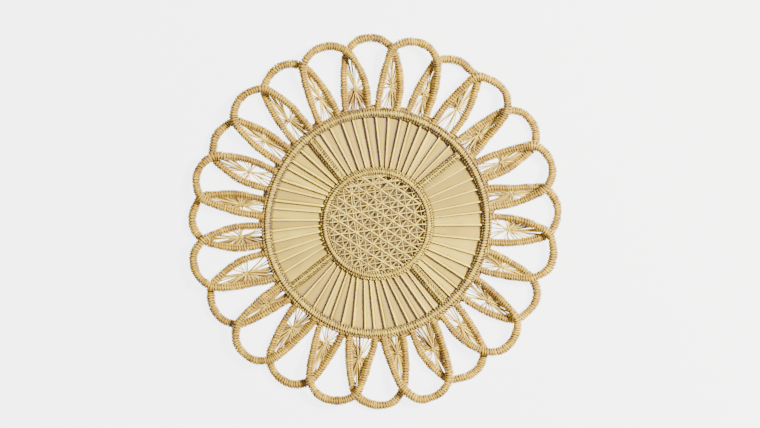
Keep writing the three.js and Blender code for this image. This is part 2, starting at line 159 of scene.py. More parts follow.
class Finish:
    def __init__(self, name, viewport):
        self.material = bpy.data.materials.new(name)
        self.material.use_nodes = True
        self.material.diffuse_color = viewport
        self.tree = self.material.node_tree
        self.tree.nodes.clear()

    def node(self, kind, settings=None, inputs=None, output=0):
        made = self.tree.nodes.new(kind)
        for key, value in (settings or {}).items():
            if key == "stops":
                ramp = made.color_ramp
                while len(ramp.elements) < len(value):
                    ramp.elements.new(0.5)
                for element, (place, colour) in zip(ramp.elements, value):
                    element.position = place
                    element.color = (*colour, 1)
            else:
                setattr(made, key, value)
        for key, value in (inputs or {}).items():
            if isinstance(value, Shade):
                self.tree.links.new(value.socket, made.inputs[key])
            else:
                made.inputs[key].default_value = value
        return Shade(self, made.outputs[output]) if len(made.outputs) else None

    def attribute(self, name):
        return self.node("ShaderNodeAttribute", {"attribute_name": name}, output="Fac")

    def place(self):
        return self.node("ShaderNodeTexCoord", output="Object")

    def surface_map(self, scale):
        spot = self.node("ShaderNodeUVMap", {"uv_map": "leaf"})
        return self.node("ShaderNodeMapping", inputs={"Vector": spot, "Scale": scale})

    def noise(self, vector, scale, detail, roughness=0.55):
        return self.node("ShaderNodeTexNoise", inputs={
            "Vector": vector, "Scale": scale, "Detail": detail, "Roughness": roughness})

    def ramp(self, value, *stops):
        return self.node("ShaderNodeValToRGB", {"stops": stops}, {"Fac": value})

    def mix(self, share, first, second):
        made = self.tree.nodes.new("ShaderNodeMix")
        made.data_type = "RGBA"
        made.clamp_factor = True
        for socket, value in ((made.inputs[0], share), (made.inputs[6], first), (made.inputs[7], second)):
            if isinstance(value, Shade):
                self.tree.links.new(value.socket, socket)
            else:
                socket.default_value = (*value, 1) if isinstance(value, tuple) else value
        return Shade(self, made.outputs[2])

    def close(self, colour, roughness, height, strength, distance):
        bump = self.node("ShaderNodeBump", inputs={
            "Height": height, "Strength": strength, "Distance": distance})
        surface = self.node("ShaderNodeBsdfPrincipled", inputs={
            "Base Color": colour, "Roughness": roughness, "Specular IOR Level": DRY_SHINE, "Normal": bump})
        self.node("ShaderNodeOutputMaterial", inputs={"Surface": surface})
        return self.material


def wrapping_finish(name, shadow, dark, middle, light):
    """Palm straw wound side by side: each wrap has its own tone, and the gaps between wraps get painted
    shade in brown.
    """
    finish = Finish(name, (*middle, 1))
    tone = finish.attribute("tone")
    gap = finish.attribute("gap")
    patches = finish.noise(finish.place(), 38, 2)
    flecks = finish.noise(finish.place(), 700, 4, 0.7)
    blend = tone * 0.62 + patches * 0.5 + flecks * 0.22 - 0.17
    straw = finish.ramp(blend, (0.05, dark), (0.45, middle), (0.95, light))
    colour = finish.mix(gap * (flecks * 0.5 + 0.72), straw, shadow)
    fibres = finish.noise(finish.place(), 2600, 3, 0.6)
    return finish.close(colour, flecks * 0.25 + 0.42, fibres * 0.6 + flecks * 0.7, 0.45, 0.00018)


def leaf_finish(name, shadow, dark, middle, light):
    """Dry palm leaf: long fine fibres along each strip, lighter tones on the folds as a painted highlight,
    painted shadow beside them, faint stains.
    """
    finish = Finish(name, (*middle, 1))
    tone = finish.attribute("tone")
    gap = finish.attribute("gap")
    veins = finish.noise(finish.surface_map((34, 0.9, 1)), 3.2, 4, 0.65)
    threads = finish.noise(finish.surface_map((150, 1.6, 1)), 3.0, 2, 0.6)
    patches = finish.noise(finish.place(), 30, 3)
    blend = tone * 0.4 + veins * 0.5 + patches * 0.45 - 0.2
    leaf = finish.ramp(blend, (0.05, dark), (0.45, middle), (0.95, light))
    colour = finish.mix(gap, leaf, shadow)
    return finish.close(colour, veins * 0.25 + 0.38, veins * 0.7 + threads * 0.5, 0.35, 0.0002)


def thread_finish(name, shadow, dark, middle, light):
    """Thin split straw: each thread has its own tone and a fine grain, and painted shade mixed in where its
    points ask for it.
    """
    finish = Finish(name, (*middle, 1))
    tone = finish.attribute("tone")
    gap = finish.attribute("gap")
    grain = finish.noise(finish.place(), 900, 4, 0.7)
    patches = finish.noise(finish.place(), 60, 2)
    blend = tone * 0.75 + patches * 0.35 + grain * 0.2 - 0.17
    straw = finish.ramp(blend, (0.05, dark), (0.5, middle), (0.95, light))
    colour = finish.mix(gap, straw, shadow)
    return finish.close(colour, grain * 0.25 + 0.42, grain, 0.35, 0.0001)


# The brown of painted shade in the gaps between wraps, in holes and in creases.
PAINTED_SHADE_BROWN = (0.042, 0.03, 0.036)
loop_wrap = wrapping_finish("loop_wrapping", PAINTED_SHADE_BROWN,
                            (0.2, 0.118, 0.085), (0.53, 0.335, 0.04), (0.94, 0.67, 0.06))
ring_wrap = wrapping_finish("ring_wrapping", PAINTED_SHADE_BROWN,
                            (0.26, 0.17, 0.13), (0.57, 0.42, 0.085), (0.98, 0.82, 0.14))
foot_wrap = wrapping_finish("foot_wrapping", PAINTED_SHADE_BROWN,
                            (0.17, 0.105, 0.09), (0.42, 0.275, 0.065), (0.85, 0.64, 0.11))
palm_leaf = leaf_finish("palm_leaf", (0.3, 0.215, 0.165),
                        (0.36, 0.265, 0.08), (0.51, 0.39, 0.075), (0.98, 0.84, 0.15))
# The backing's leaf colour is darkened with painted shade, for the shade under the lattice.
shaded_back_leaf = leaf_finish("backing_leaf_painted_shade", (0.04, 0.03, 0.035),
                        (0.11, 0.08, 0.065), (0.2, 0.153, 0.09), (0.34, 0.28, 0.13))
lattice_straw = thread_finish("lattice_straw", PAINTED_SHADE_BROWN,
                              (0.34, 0.24, 0.13), (0.68, 0.54, 0.13), (0.98, 0.86, 0.19))
star_straw = thread_finish("star_straw", PAINTED_SHADE_BROWN,
                           (0.25, 0.16, 0.075), (0.56, 0.41, 0.085), (0.95, 0.79, 0.16))


# Places on the mat.
def toward(turn):
    return Vector((math.cos(turn), math.sin(turn), 0))


def around(degrees):
    return toward(math.radians(degrees))


def stray(degrees):
    """How far the rim strays from its circle at an angle round its own middle."""
    place = (degrees % 360) / 360 * len(RIM_WAVE)
    first = int(place) % len(RIM_WAVE)
    share = place - int(place)
    ease = share * share * (3 - 2 * share)
    return RIM_WAVE[first] * (1 - ease) + RIM_WAVE[(first + 1) % len(RIM_WAVE)] * ease


def turn_round(middle, point):
    return math.degrees(math.atan2(point.y - middle.y, point.x - middle.x))


def on_circle(degrees, middle, radius):
    """Where the line at that angle from the mat's middle meets a circle round a ring's own middle.
    Round the rim, the circle strays as the rim does."""
    along = around(degrees)
    in_line = along.dot(middle)
    point = along
    for _ in range(4):
        reach = radius + (stray(turn_round(middle, point)) if middle is RIM else 0)
        point = along * (in_line + math.sqrt(reach ** 2 - middle.length_squared + in_line ** 2))
    return point


def at(degrees, radius, z):
    return around(degrees) * radius + Vector((0, 0, z))


def raised(point, z):
    return Vector((point.x, point.y, z))


def smooth_line(points, pieces=12):
    """Centripetal curve through the points, the same as the solid's own."""
    ends = [2 * points[0] - points[1], *points, 2 * points[-1] - points[-2]]
    line = []
    for a, b, c, d in zip(ends, ends[1:], ends[2:], ends[3:]):
        t1 = (b - a).length ** 0.5
        t2 = t1 + (c - b).length ** 0.5
        t3 = t2 + (d - c).length ** 0.5
        for k in range(pieces):
            t = t1 + (t2 - t1) * k / pieces
            ab = a + (b - a) * (t / t1)
            bc = b + (c - b) * ((t - t1) / (t2 - t1))
            cd = c + (d - c) * ((t - t2) / (t3 - t2))
            abc = ab + (bc - ab) * (t / t2)
            bcd = bc + (cd - bc) * ((t - t1) / (t3 - t1))
            line.append(abc + (bcd - abc) * ((t - t1) / (t2 - t1)))
    line.append(points[-1].copy())
    return line


class Run:
    """A line that can be asked for the point and the direction at a distance along it."""

    def __init__(self, points):
        self.points = points
        self.marks = [0.0]
        for a, b in zip(points, points[1:]):
            self.marks.append(self.marks[-1] + (b - a).length)
        self.length = self.marks[-1]

    def at(self, distance):
        k = min(max(bisect.bisect_right(self.marks, distance) - 1, 0), len(self.points) - 2)
        a, b = self.points[k], self.points[k + 1]
        step = self.marks[k + 1] - self.marks[k]
        along = b - a
        return a + along * ((distance - self.marks[k]) / step), along.normalized()


# Shapes: every piece is a bmesh in millimetres, put in place by its own points.
def new_shape():
    bm = bmesh.new()
    bm.verts.layers.float.new("tone")
    bm.verts.layers.float.new("gap")
    return bm


def tube(bm, stations, sides, round_end=True):
    """A skin of rings, one for each station: its points, tone and painted shade. round_end closes its two
    ends.
    """
    tone = bm.verts.layers.float["tone"]
    gap = bm.verts.layers.float["gap"]
    rows = len(stations) - 1
    made = bmesh.ops.create_grid(bm, x_segments=sides, y_segments=rows, size=1)["verts"]
    for vertex in made:
        column = round((vertex.co.x + 1) / 2 * sides) % sides
        points, shade, painted_shades = stations[round((vertex.co.y + 1) / 2 * rows)]
        vertex.co = points[column]
        vertex[tone] = shade
        vertex[gap] = painted_shades[column]
    bmesh.ops.remove_doubles(bm, verts=made, dist=1e-4)
    made = [vertex for vertex in made if vertex.is_valid]
    if round_end:
        rims = {edge for vertex in made for edge in vertex.link_edges if edge.is_boundary}
        bmesh.ops.holes_fill(bm, edges=list(rims), sides=sides)


# Along one wrap: where, whether it is the groove, how strong the painted shade is on its top, and on its two
# sides.
WRAP_STEPS = ((0.0, True, 1.0, 1.0), (0.19, False, 0.5, 1.0), (0.4, False, 0.0, 0.35),
              (0.64, False, 0.0, 0.0), (0.84, False, 0.4, 0.85))

# The same along one stitch of an edge bead: half straw, half open hole in painted shade.
STITCH_STEPS = ((0.0, True, 1.0, 1.0), (0.24, False, 1.0, 1.0), (0.42, False, 0.5, 0.6),
                (0.56, False, 0.0, 0.0), (0.8, False, 0.2, 0.3))


def wrapped_cord(bm, run, rng, *, wide, high, pitch, sides, groove, slant, tones, top_painted_shade, closed=False,
                 sway=0.05, dots=(1.0, 1.0), seam_at=None, slim=0.0, steps=WRAP_STEPS):
    """Straw wound round a core: wide and high are half sizes, pitch is the usual width of a wrap, and groove
    is how deep the gap between two wraps is at the top and at the sides, as a share of those sizes. The gaps
    get painted shade, on the top and in rows of dots at the sides. Where seam_at says so, a valley with a
    row of holes in painted shade runs along the left part of its top, and it is slimmer."""
    widths = []
    while sum(widths) < run.length:
        widths.append(pitch * rng.uniform(0.72, 1.3))
    fit = run.length / sum(widths)
    stations = []
    mark = 0.0
    drift = rng.uniform(0, 6.3)
    tone = rng.uniform(*tones)
    for width in widths:
        width *= fit
        tone = 0.45 * tone + 0.55 * rng.uniform(*tones)
        proud = rng.uniform(-0.05, 0.05)
        lean = slant * rng.uniform(0.5, 1.5)
        deep = rng.uniform(0.6, 1.5) if rng.random() > 0.08 else 2.2
        left_dot, right_dot = dots[0] * rng.uniform(0.3, 1.4), dots[1] * rng.uniform(0.3, 1.4)
        for share, is_gap, top, seam in steps:
            distance = mark + share * width
            point, along = run.at(distance)
            side = Vector((along.y, -along.x, 0)).normalized()
            up = side.cross(along).normalized()
            body = 1 + sway * math.sin(distance * 0.11 + drift)
            body += sway * 0.6 * math.sin(distance * 0.31 + 2 * drift)
            valley = seam_at(point) if seam_at else 0
            body *= 1 - slim * valley
            points = []
            painted_shades = []
            for k in range(sides):
                turn = 2 * math.pi * k / sides
                c, s = math.cos(turn), math.sin(turn)
                bump = max(0.0, 1 - ((abs(c) - 0.75) / 0.55) ** 2)
                depth = (groove[0] + (groove[1] - groove[0]) * bump) * deep if is_gap else 0
                dot = (left_dot if c < 0 else right_dot) * bump
                if valley and c < 0 and s > 0:
                    in_valley = max(0.0, 1 - abs(c + 0.5) / 0.36)
                    depth += 0.17 * valley * in_valley
                    dot = dot * (1 - valley) + valley * in_valley * (0.7 + left_dot)
                reach = body * (1 + proud * (0.4 if is_gap else 1)) * (1 - depth)
                points.append(point + side * (wide * c * reach) + up * (high * s * reach)
                              + along * (lean * c))
                painted_shades.append(min(1.0, max(top_painted_shade * min(deep, 1.3) * top, seam * dot)))
            stations.append((points, tone, painted_shades))
        mark += width
    if closed:
        stations.append(stations[0])
    else:
        point, along = run.at(run.length)
        last = stations[-1]
        shift = along * (run.length - mark + 0.25 * widths[-1] * fit)
        stations.append(([p + shift for p in last[0]], last[1], [0.5] * sides))
    tube(bm, stations, sides, not closed)


def strand(bm, points, wide, high, tone, sides=5, taper=0.75, painted_shades=None):
    """A plain straw along a few points, thinner at both ends: wide and high are half sizes."""
    stations = []
    last = len(points) - 1
    for k, point in enumerate(points):
        along = (points[min(k + 1, last)] - points[max(k - 1, 0)]).normalized()
        side = Vector((along.y, -along.x, 0))
        side = side.normalized() if side.length > 1e-6 else Vector((1, 0, 0))
        up = side.cross(along).normalized()
        slim = taper if k in (0, last) else 1
        ring = []
        for n in range(sides):
            turn = 2 * math.pi * n / sides
            c, s = math.cos(turn), math.sin(turn)
            ring.append(point + side * (wide * slim * c) + up * (high * slim * s))
        stations.append((ring, tone, [0 if painted_shades is None else painted_shades[k]] * sides))
    tube(bm, stations, sides)


def piece(name, bm, material, slot, *nodes, smooth=True):
    """Brings a shape to metres, faces outward, and says what it rides on and which solids it replaces."""
    bmesh.ops.translate(bm, verts=bm.verts, vec=MIDDLE)
    bmesh.ops.scale(bm, verts=bm.verts, vec=(MM, MM, MM))
    bmesh.ops.recalc_face_normals(bm, faces=bm.faces)
    for face in bm.faces:
        face.smooth = smooth
    mesh = bpy.data.meshes.new(name)
    bm.to_mesh(mesh)
    bm.free()
    made = bpy.data.objects.new(name, mesh)
    bpy.context.scene.collection.objects.link(made)
    made.data.materials.append(material)
    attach(made, "root")
    if nodes:
        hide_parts(*nodes)
    return made


# Loops of the scalloped edge.
def loop_side(lens, side, apex, apex_r, heights):
    foot = lens["foot_" + side]
    waist = lens["waist_" + side]
    neck = lens["cross"] + (waist - lens["cross"]) * NECK_OUT
    neck_r = lens["cross_r"] + (WAIST_R - lens["cross_r"]) * NECK_DOWN
    shoulder = lens["cross"] + (apex - lens["cross"]) * SHOULDER_ALONG
    return [
        raised(on_circle(foot, RIM, RIM_OUT - 1.9), heights["foot"] + 0.5),
        raised(on_circle(foot, RIM, RIM_OUT + LEAD), heights["foot"]),
        at(waist, WAIST_R, heights["waist"]),
        at(neck, neck_r, heights["neck"]),
        at(lens["cross"], lens["cross_r"], heights["cross"]),
        at(shoulder, apex_r - SHOULDER_DROP, heights["shoulder"]),
    ]


def loop_line(k):
    start, following = LENSES[k], LENSES[(k + 1) % len(LENSES)]
    heights = OVER if k % 2 == 0 else UNDER
    apex = start["apex"]
    apex_back = apex - 360 if apex > following["cross"] + 180 else apex
    rising = loop_side(start, "a", apex, start["apex_r"], heights)
    falling = loop_side(following, "b", apex_back, start["apex_r"], heights)
    return smooth_line([*rising, at(apex, start["apex_r"], heights["apex"]), *reversed(falling)])


LOOP_LINES = [loop_line(k) for k in range(len(LENSES))]
# Inside this radius a loop borders a lens, where its top has a valley with holes in painted shade; it
# changes over this many millimetres.
LENS_END, LENS_FADE = 171, 8


def along_lens(point):
    """One on the part of a loop that borders a lens, none on its round top."""
    return min(1.0, max(0.0, (LENS_END - raised(point, 0).length) / LENS_FADE))


def make_loops():
    for k, line in enumerate(LOOP_LINES):
        rng = random.Random(100 + k)
        bm = new_shape()
        wrapped_cord(bm, Run(line), rng, wide=4.35, high=2.45, pitch=2.5, sides=12, groove=(0.1, 0.3),
                     slant=0.4, tones=(0.12, 1.08), top_painted_shade=0.6, dots=(1.6, 1.4), seam_at=along_lens,
                     slim=0.1)
        piece(f"wrapped_loop_{k + 1:02d}", bm, loop_wrap, "wrapped_straw", f"loop_{k + 1:02d}")


# Rings, each with its stitched edges.
def circle_run(middle, radius, z, points=180):
    turns = [360 * k / points for k in range(points + 1)]
    return Run([at(turn, radius + (stray(turn) if middle is RIM else 0), z) + middle for turn in turns])


CORE_CORNERS = ((1, -0.7), (1, 0.7), (0.7, 1), (-0.7, 1), (-1, 0.7), (-1, -0.7), (-0.7, -1), (0.7, -1))
CORE_TONE = 0.2
CORE_Z = 2.0


def ring_core(bm, middle, radius, *, wide, high, shade):
    """The plain straw core that the wraps of a ring lie on, and how much painted shade it shows between
    them.
    """
    stations = []
    for point in circle_run(middle, radius, CORE_Z, 240).points:
        out = (point - middle).normalized()
        out.z = 0
        ring = [point + out * (wide * c) + Vector((0, 0, high * s)) for c, s in CORE_CORNERS]
        stations.append((ring, CORE_TONE, [shade] * len(CORE_CORNERS)))
    tube(bm, stations, len(CORE_CORNERS), False)


# Radius of each cord of the two rings, from the ring's own middle.
HUB_CORE_R, HUB_CORD_R, HUB_OUTER_BEAD_R, HUB_INNER_BEAD_R = 53.1, 53.0, 56.3, 49.9
RIM_CORE_R, RIM_CORD_R, RIM_INNER_BEAD_R, FOOT_BAND_R = 112.6, 112.1, 108.6, 116.0
RIM_POINTS = 360
# Three cords wound between the loops' feet, as radius and height.
FOOT_CORDS = ((117.6, 2.9), (118.6, 1.9), (119.8, 2.3))
# Degrees from the middle of a foot to the ends of those cords, and to the strand of painted shade beside the
# foot.
FOOT_CLEAR, FOOT_SHADE_TURN = 1.2, 1.7


def make_rings():
    rng = random.Random(7)
    bead = dict(sides=8, slant=0.5, closed=True, sway=0.08, steps=STITCH_STEPS)
    bm = new_shape()
    ring_core(bm, HUB, HUB_CORE_R, wide=3.75, high=1.5, shade=0.45)
    wrapped_cord(bm, circle_run(HUB, HUB_CORD_R, 3.05), rng, wide=2.6, high=2.95, pitch=2.3, sides=12,
                 groove=(0.1, 0.3), slant=0.8, closed=True, sway=0.03, tones=(0.35, 1.0), top_painted_shade=0.5,
                 dots=(1.4, 1.4))
    wrapped_cord(bm, circle_run(HUB, HUB_OUTER_BEAD_R, 3.1), rng, wide=1.3, high=1.3, pitch=2.7,
                 groove=(0.2, 0.3), tones=(0.4, 1.2), top_painted_shade=1.2, dots=(1.4, 1.4), **bead)
    wrapped_cord(bm, circle_run(HUB, HUB_INNER_BEAD_R, 3.8), rng, wide=1.2, high=1.2, pitch=2.7,
                 groove=(0.25, 0.4), tones=(0.2, 1.0), top_painted_shade=1.6, dots=(2.0, 2.0), **bead)
    piece("hub_ring_wrapping", bm, ring_wrap, "wrapped_straw", "hub_ring")
    bm = new_shape()
    ring_core(bm, RIM, RIM_CORE_R, wide=4.4, high=1.6, shade=0.55)
    wrapped_cord(bm, circle_run(RIM, RIM_CORD_R, 3.1, RIM_POINTS), rng, wide=3.2, high=2.9, pitch=2.5,
                 sides=12, groove=(0.09, 0.26), slant=0.4, closed=True, sway=0.04, tones=(0.25, 1.1),
                 top_painted_shade=0.55, dots=(1.4, 1.5))
    # The rim's inner bead has darker tones, painted shade for the shadow the rim casts inside it.
    wrapped_cord(bm, circle_run(RIM, RIM_INNER_BEAD_R, 3.0, RIM_POINTS), rng, wide=1.25, high=1.3, pitch=2.9,
                 groove=(0.25, 0.4), tones=(-0.35, 0.6), top_painted_shade=1.3, dots=(1.5, 1.5), **bead)
    piece("rim_ring_wrapping", bm, ring_wrap, "wrapped_straw", "rim_ring")
    make_foot_band(rng)


def make_foot_band(rng):
    """The stitched band outside the rim, cords between the loops' feet, and a short strand of painted shade
    beside each foot.
    """
    bm = new_shape()
    wrapped_cord(bm, circle_run(RIM, FOOT_BAND_R, 2.8, RIM_POINTS), rng, wide=1.8, high=2.4, pitch=2.9,
                 sides=10, groove=(0.2, 0.42), slant=0.7, closed=True, sway=0.08, tones=(0.1, 1.0),
                 top_painted_shade=1.0, steps=STITCH_STEPS)
    for lens, following in zip(LENSES, LENSES[1:] + LENSES[:1]):
        first, last = lens["foot_b"] + FOOT_CLEAR, following["foot_a"] - FOOT_CLEAR
        last += 360 if last < first - 180 else 0
        for radius, z in FOOT_CORDS:
            reach = 0.5 * (last - first) * rng.uniform(0.9, 1.2)
            middle = 0.5 * (first + last) + rng.uniform(-0.3, 0.3)
            arc = []
            for step in range(7):
                bowed = radius + 0.35 * (step - 3) ** 2 / 9
                arc.append(on_circle(middle + reach * (step / 3 - 1), RIM, bowed) + Vector((0, 0, z)))
            # Some points of these cords get painted shade.
            strand(bm, arc, rng.uniform(0.6, 0.95), 1.1, rng.uniform(0.1, 0.9), sides=6,
                   painted_shades=[rng.choice((0, 0.2, 0.9)) for _ in arc])
    # A short dark strand beside each foot is painted shade.
    for lens in LENSES:
        for foot in (lens["foot_a"] - FOOT_SHADE_TURN, lens["foot_b"] + FOOT_SHADE_TURN):
            inner = on_circle(foot + rng.uniform(-0.2, 0.2), RIM, RIM_OUT + 0.2)
            outer = on_circle(foot + rng.uniform(-0.2, 0.2), RIM, RIM_OUT + 3)
            strand(bm, [raised(inner, 3.4), raised(outer, 2.6)], rng.uniform(0.55, 0.9), 0.8, 0.0,
                   painted_shades=(1, 1))
    piece("foot_band", bm, foot_wrap, "wrapped_straw")


# Spokes: a raised wrapped middle between two beaded cords, over a flat core in painted shade.
SPOKE_CORE_Z, SPOKE_CORD_Z, SPOKE_BEAD_Z = 1.3, 3.5, 2.7
SPOKE_BEAD_OFFSET = 2.6


def spoke_line(spoke):
    return on_circle(spoke[1], HUB, HUB_OUT + 0.6), on_circle(spoke[0], RIM, RIM_IN - 0.6)


def make_spokes():
    for k, spoke in enumerate(SPOKES):
        inner, outer = spoke_line(spoke)
        across = (outer - inner).normalized().cross(Vector((0, 0, 1)))
        bm = new_shape()
        # The flat core is painted with shade; it shows as a dark line along both edges of the spoke.
        strand(bm, [raised(inner, SPOKE_CORE_Z), raised(outer, SPOKE_CORE_Z)], 4.4, 1.5, 0.0, sides=4,
               taper=1, painted_shades=(0.9, 0.9))
        run = Run([raised(inner, SPOKE_CORD_Z), raised(outer, SPOKE_CORD_Z)])
        wrapped_cord(bm, run, random.Random(40 + k), wide=1.9, high=1.75, pitch=2.6, sides=12,
                     groove=(0.08, 0.35), slant=0.9, sway=0.06, tones=(0.5, 1.2), top_painted_shade=0.4,
                     dots=(1.6, 1.6))
        for offset in (across * -SPOKE_BEAD_OFFSET, across * SPOKE_BEAD_OFFSET):
            run = Run([raised(inner + offset, SPOKE_BEAD_Z), raised(outer + offset, SPOKE_BEAD_Z)])
            wrapped_cord(bm, run, random.Random(40 + k), wide=1.25, high=1.35, pitch=2.6, sides=8,
                         groove=(0.2, 0.4), slant=0.9, sway=0.06, tones=(0.1, 1.0), top_painted_shade=1.3,
                         dots=(1.8, 1.8), steps=STITCH_STEPS)
        piece(f"spoke_wrapping_{k + 1}", bm, ring_wrap, "wrapped_straw", f"spoke_{k + 1}")


# Leaf strips between the ribs.
ROWS_ALONG = 14
# The low side of a strip: how far it is from the rib, its height, and how strong the rib's painted shadow on
# it is.
LOW_SIDE = ((0.35, 1.5, 0.8), (1.3, 1.65, 0.95), (2.2, 1.75, 0.75), (3.1, 1.8, 0.3))
LEAF_THICK = 0.4
FAN_CLEAR = 2.9
FAN_UNDER_RIM = 1.2
# How strong the painted shadow on the low side of a strip is, for each fan, stronger where the ribs lie
# across the key light.
FAN_PAINTED_SHADOWS = (1.0, 0.45, 0.85, 0.35)


def leaf_fan(bm, lines, rng, shadow_strength):
    """Strips side by side: each starts low beside a rib in painted shadow, scaled by the fan's share, and
    rises to a fold with a painted highlight on top.
    """
    tone = bm.verts.layers.float["tone"]
    gap = bm.verts.layers.float["gap"]
    across = []
    for k, (left, right) in enumerate(zip(lines, lines[1:])):
        shade = rng.uniform(0.1, 0.95)
        tilt = rng.uniform(-0.25, 0.35)
        bow = rng.uniform(-0.15, 0.4)
        fold = k + 2 < len(lines)
        rib = rng.uniform(0.85, 1.35)
        for shift, height, shadow_share in LOW_SIDE:
            across.append((left, right, 0.0, shift, height, shade, shadow_share * shadow_strength))
        for share in (0.48, 0.6, 0.72, 0.84):
            height = 1.85 + (0.45 + tilt) * share + bow * math.sin(math.pi * share)
            across.append((left, right, share, 0.0, height, shade, 0.0))
        # Painted shade just before each fold and behind it, a painted highlight on the fold's top, and
        # painted shade where the last strip drops beside the spoke.
        across.append((left, right, 1.0, -1.65, 2.2 + tilt, shade - 0.1, 0.35))
        if fold:
            across.append((left, right, 1.0, -1.3, 2.4 + tilt + rib * 0.6, shade + 0.6, 0.0))
            across.append((left, right, 1.0, -0.65, 2.3 + tilt + rib, 1.8, 0.0))
            across.append((left, right, 1.0, 0.0, 2.25 + tilt + rib * 0.9, 1.7, 0.0))
            across.append((left, right, 1.0, 0.4, 1.6, 0.1, 0.7))
        else:
            across.append((left, right, 1.0, -0.4, 2.1, shade, 0.1))
            across.append((left, right, 1.0, 0.3, 1.0, shade, 0.9))
    columns = len(across) - 1
    made = bmesh.ops.create_grid(bm, x_segments=columns, y_segments=ROWS_ALONG, size=1)["verts"]
    waves = [rng.uniform(0, 6.3) for _ in across]
    uv_of = {}
    for vertex in made:
        column = round((vertex.co.x + 1) / 2 * columns)
        share_out = round((vertex.co.y + 1) / 2 * ROWS_ALONG) / ROWS_ALONG
        (in_a, out_a), (in_b, out_b), share, shift, z, shade, dark = across[column]
        a = in_a.lerp(out_a, share_out)
        b = in_b.lerp(out_b, share_out)
        step = (b - a).normalized()
        flat = (a if share < 0.5 and shift > 0 else b) if shift else a.lerp(b, share)
        shift *= min(1.1, (b - a).length / 8)
        lift = 0.07 * math.sin(share_out * 9 + waves[column - column % 4])
        vertex.co = raised(flat + step * shift, z + lift)
        vertex[tone] = shade
        vertex[gap] = dark
        uv_of[vertex] = (((b - a).length * share + shift + 13 * (column // 12)) / 10, share_out * 5.2)
    leaf_uv = bm.loops.layers.uv.new("leaf")
    for face in bm.faces:
        for corner in face.loops:
            corner[leaf_uv].uv = uv_of[corner.vert]


def make_panels():
    for k, ribs in enumerate(RIBS):
        rng = random.Random(60 + k)
        lines = []
        for spoke, sign in ((SPOKES[k], 1), (SPOKES[(k + 1) % 4], -1)):
            inner, outer = spoke_line(spoke)
            out = (outer - inner).normalized()
            shift = Vector((0, 0, 1)).cross(out) * FAN_CLEAR * sign
            lines.append((inner + shift, outer + shift + out * FAN_UNDER_RIM))
        for rim_at, hub_at in reversed(ribs):
            lines.insert(1, (on_circle(hub_at, HUB, HUB_OUT + 0.7), on_circle(rim_at, RIM, RIM_IN + 0.6)))
        if k > 1:
            lines.reverse()
        bm = new_shape()
        leaf_fan(bm, lines, rng, FAN_PAINTED_SHADOWS[k])
        fan = piece(f"leaf_fan_{k + 1}", bm, palm_leaf, "leaf", f"leaf_panel_{k + 1}")
        thick = fan.modifiers.new("thickness", "SOLIDIFY")
        thick.thickness = LEAF_THICK * MM
        thick.offset = -1


# Centre: a leaf disc, and over it a straw lattice with a layer for each direction of its threads.
CENTRE_R = HUB_IN - 0.2


def make_backing():
    bm = new_shape()
    made = bmesh.ops.create_circle(bm, cap_ends=True, segments=64, radius=CENTRE_R)["verts"]
    bmesh.ops.translate(bm, verts=made, vec=HUB + Vector((0, 0, 0.02)))
    whole = bm.verts[:] + bm.edges[:] + bm.faces[:]
    bmesh.ops.bisect_plane(bm, geom=whole, plane_co=HUB, plane_no=(0, 1, 0))
    top = bmesh.ops.extrude_face_region(bm, geom=bm.faces[:])["geom"]
    bmesh.ops.translate(bm, verts=[v for v in top if isinstance(v, bmesh.types.BMVert)], vec=(0, 0, 1))
    tone = bm.verts.layers.float["tone"]
    for vertex in bm.verts:
        vertex[tone] = 0.5
    leaf_uv = bm.loops.layers.uv.new("leaf")
    for face in bm.faces:
        for corner in face.loops:
            corner[leaf_uv].uv = (corner.vert.co.x / 10, corner.vert.co.y / 10)
    disc = piece("backing_disc", bm, shaded_back_leaf, "leaf", "centre_backing", smooth=False)


# The lattice repeats by these two steps, and threads run along both, along their sum and their difference.
STEP_A = Vector((8.42, -5.63, 0))
STEP_B = Vector((6.66, 7.62, 0))
FIRST_NODE = HUB + Vector((1.2, 0.3, 0))
# For each thread direction: the direction, the step to the next thread, height, half width, half thickness
# and how light it is.
THREADS = (
    (STEP_A - STEP_B, STEP_A, 3.2, 0.46, 0.34, 0.85),
    (STEP_B, STEP_A, 3.65, 0.62, 0.36, 0.95),
    (STEP_A, STEP_B, 4.1, 0.74, 0.38, 1.05),
    (STEP_A + STEP_B, STEP_A, 4.4, 0.58, 0.4, 1.05),
)


def thread_line(rng, along, side, offset, half, z):
    """A thread from edge to edge of the centre: a little tilted, bowed and wavy, over and under by turns."""
    tilt = rng.uniform(-0.018, 0.018)
    wave = rng.uniform(0, 6.3)
    bend = rng.uniform(-0.6, 0.6)
    pieces = max(3, int(2 * half / 3.4))
    points = []
    for k in range(pieces + 1):
        share = 2 * k / pieces - 1
        sway = tilt * half * share + bend * (1 - share * share) + rng.uniform(-0.18, 0.18)
        height = z + 0.22 * math.sin(k * math.pi + wave) + 0.3 * abs(share) ** 5
        points.append(raised(HUB + side * (offset + sway) + along * (half * share), height))
    return points


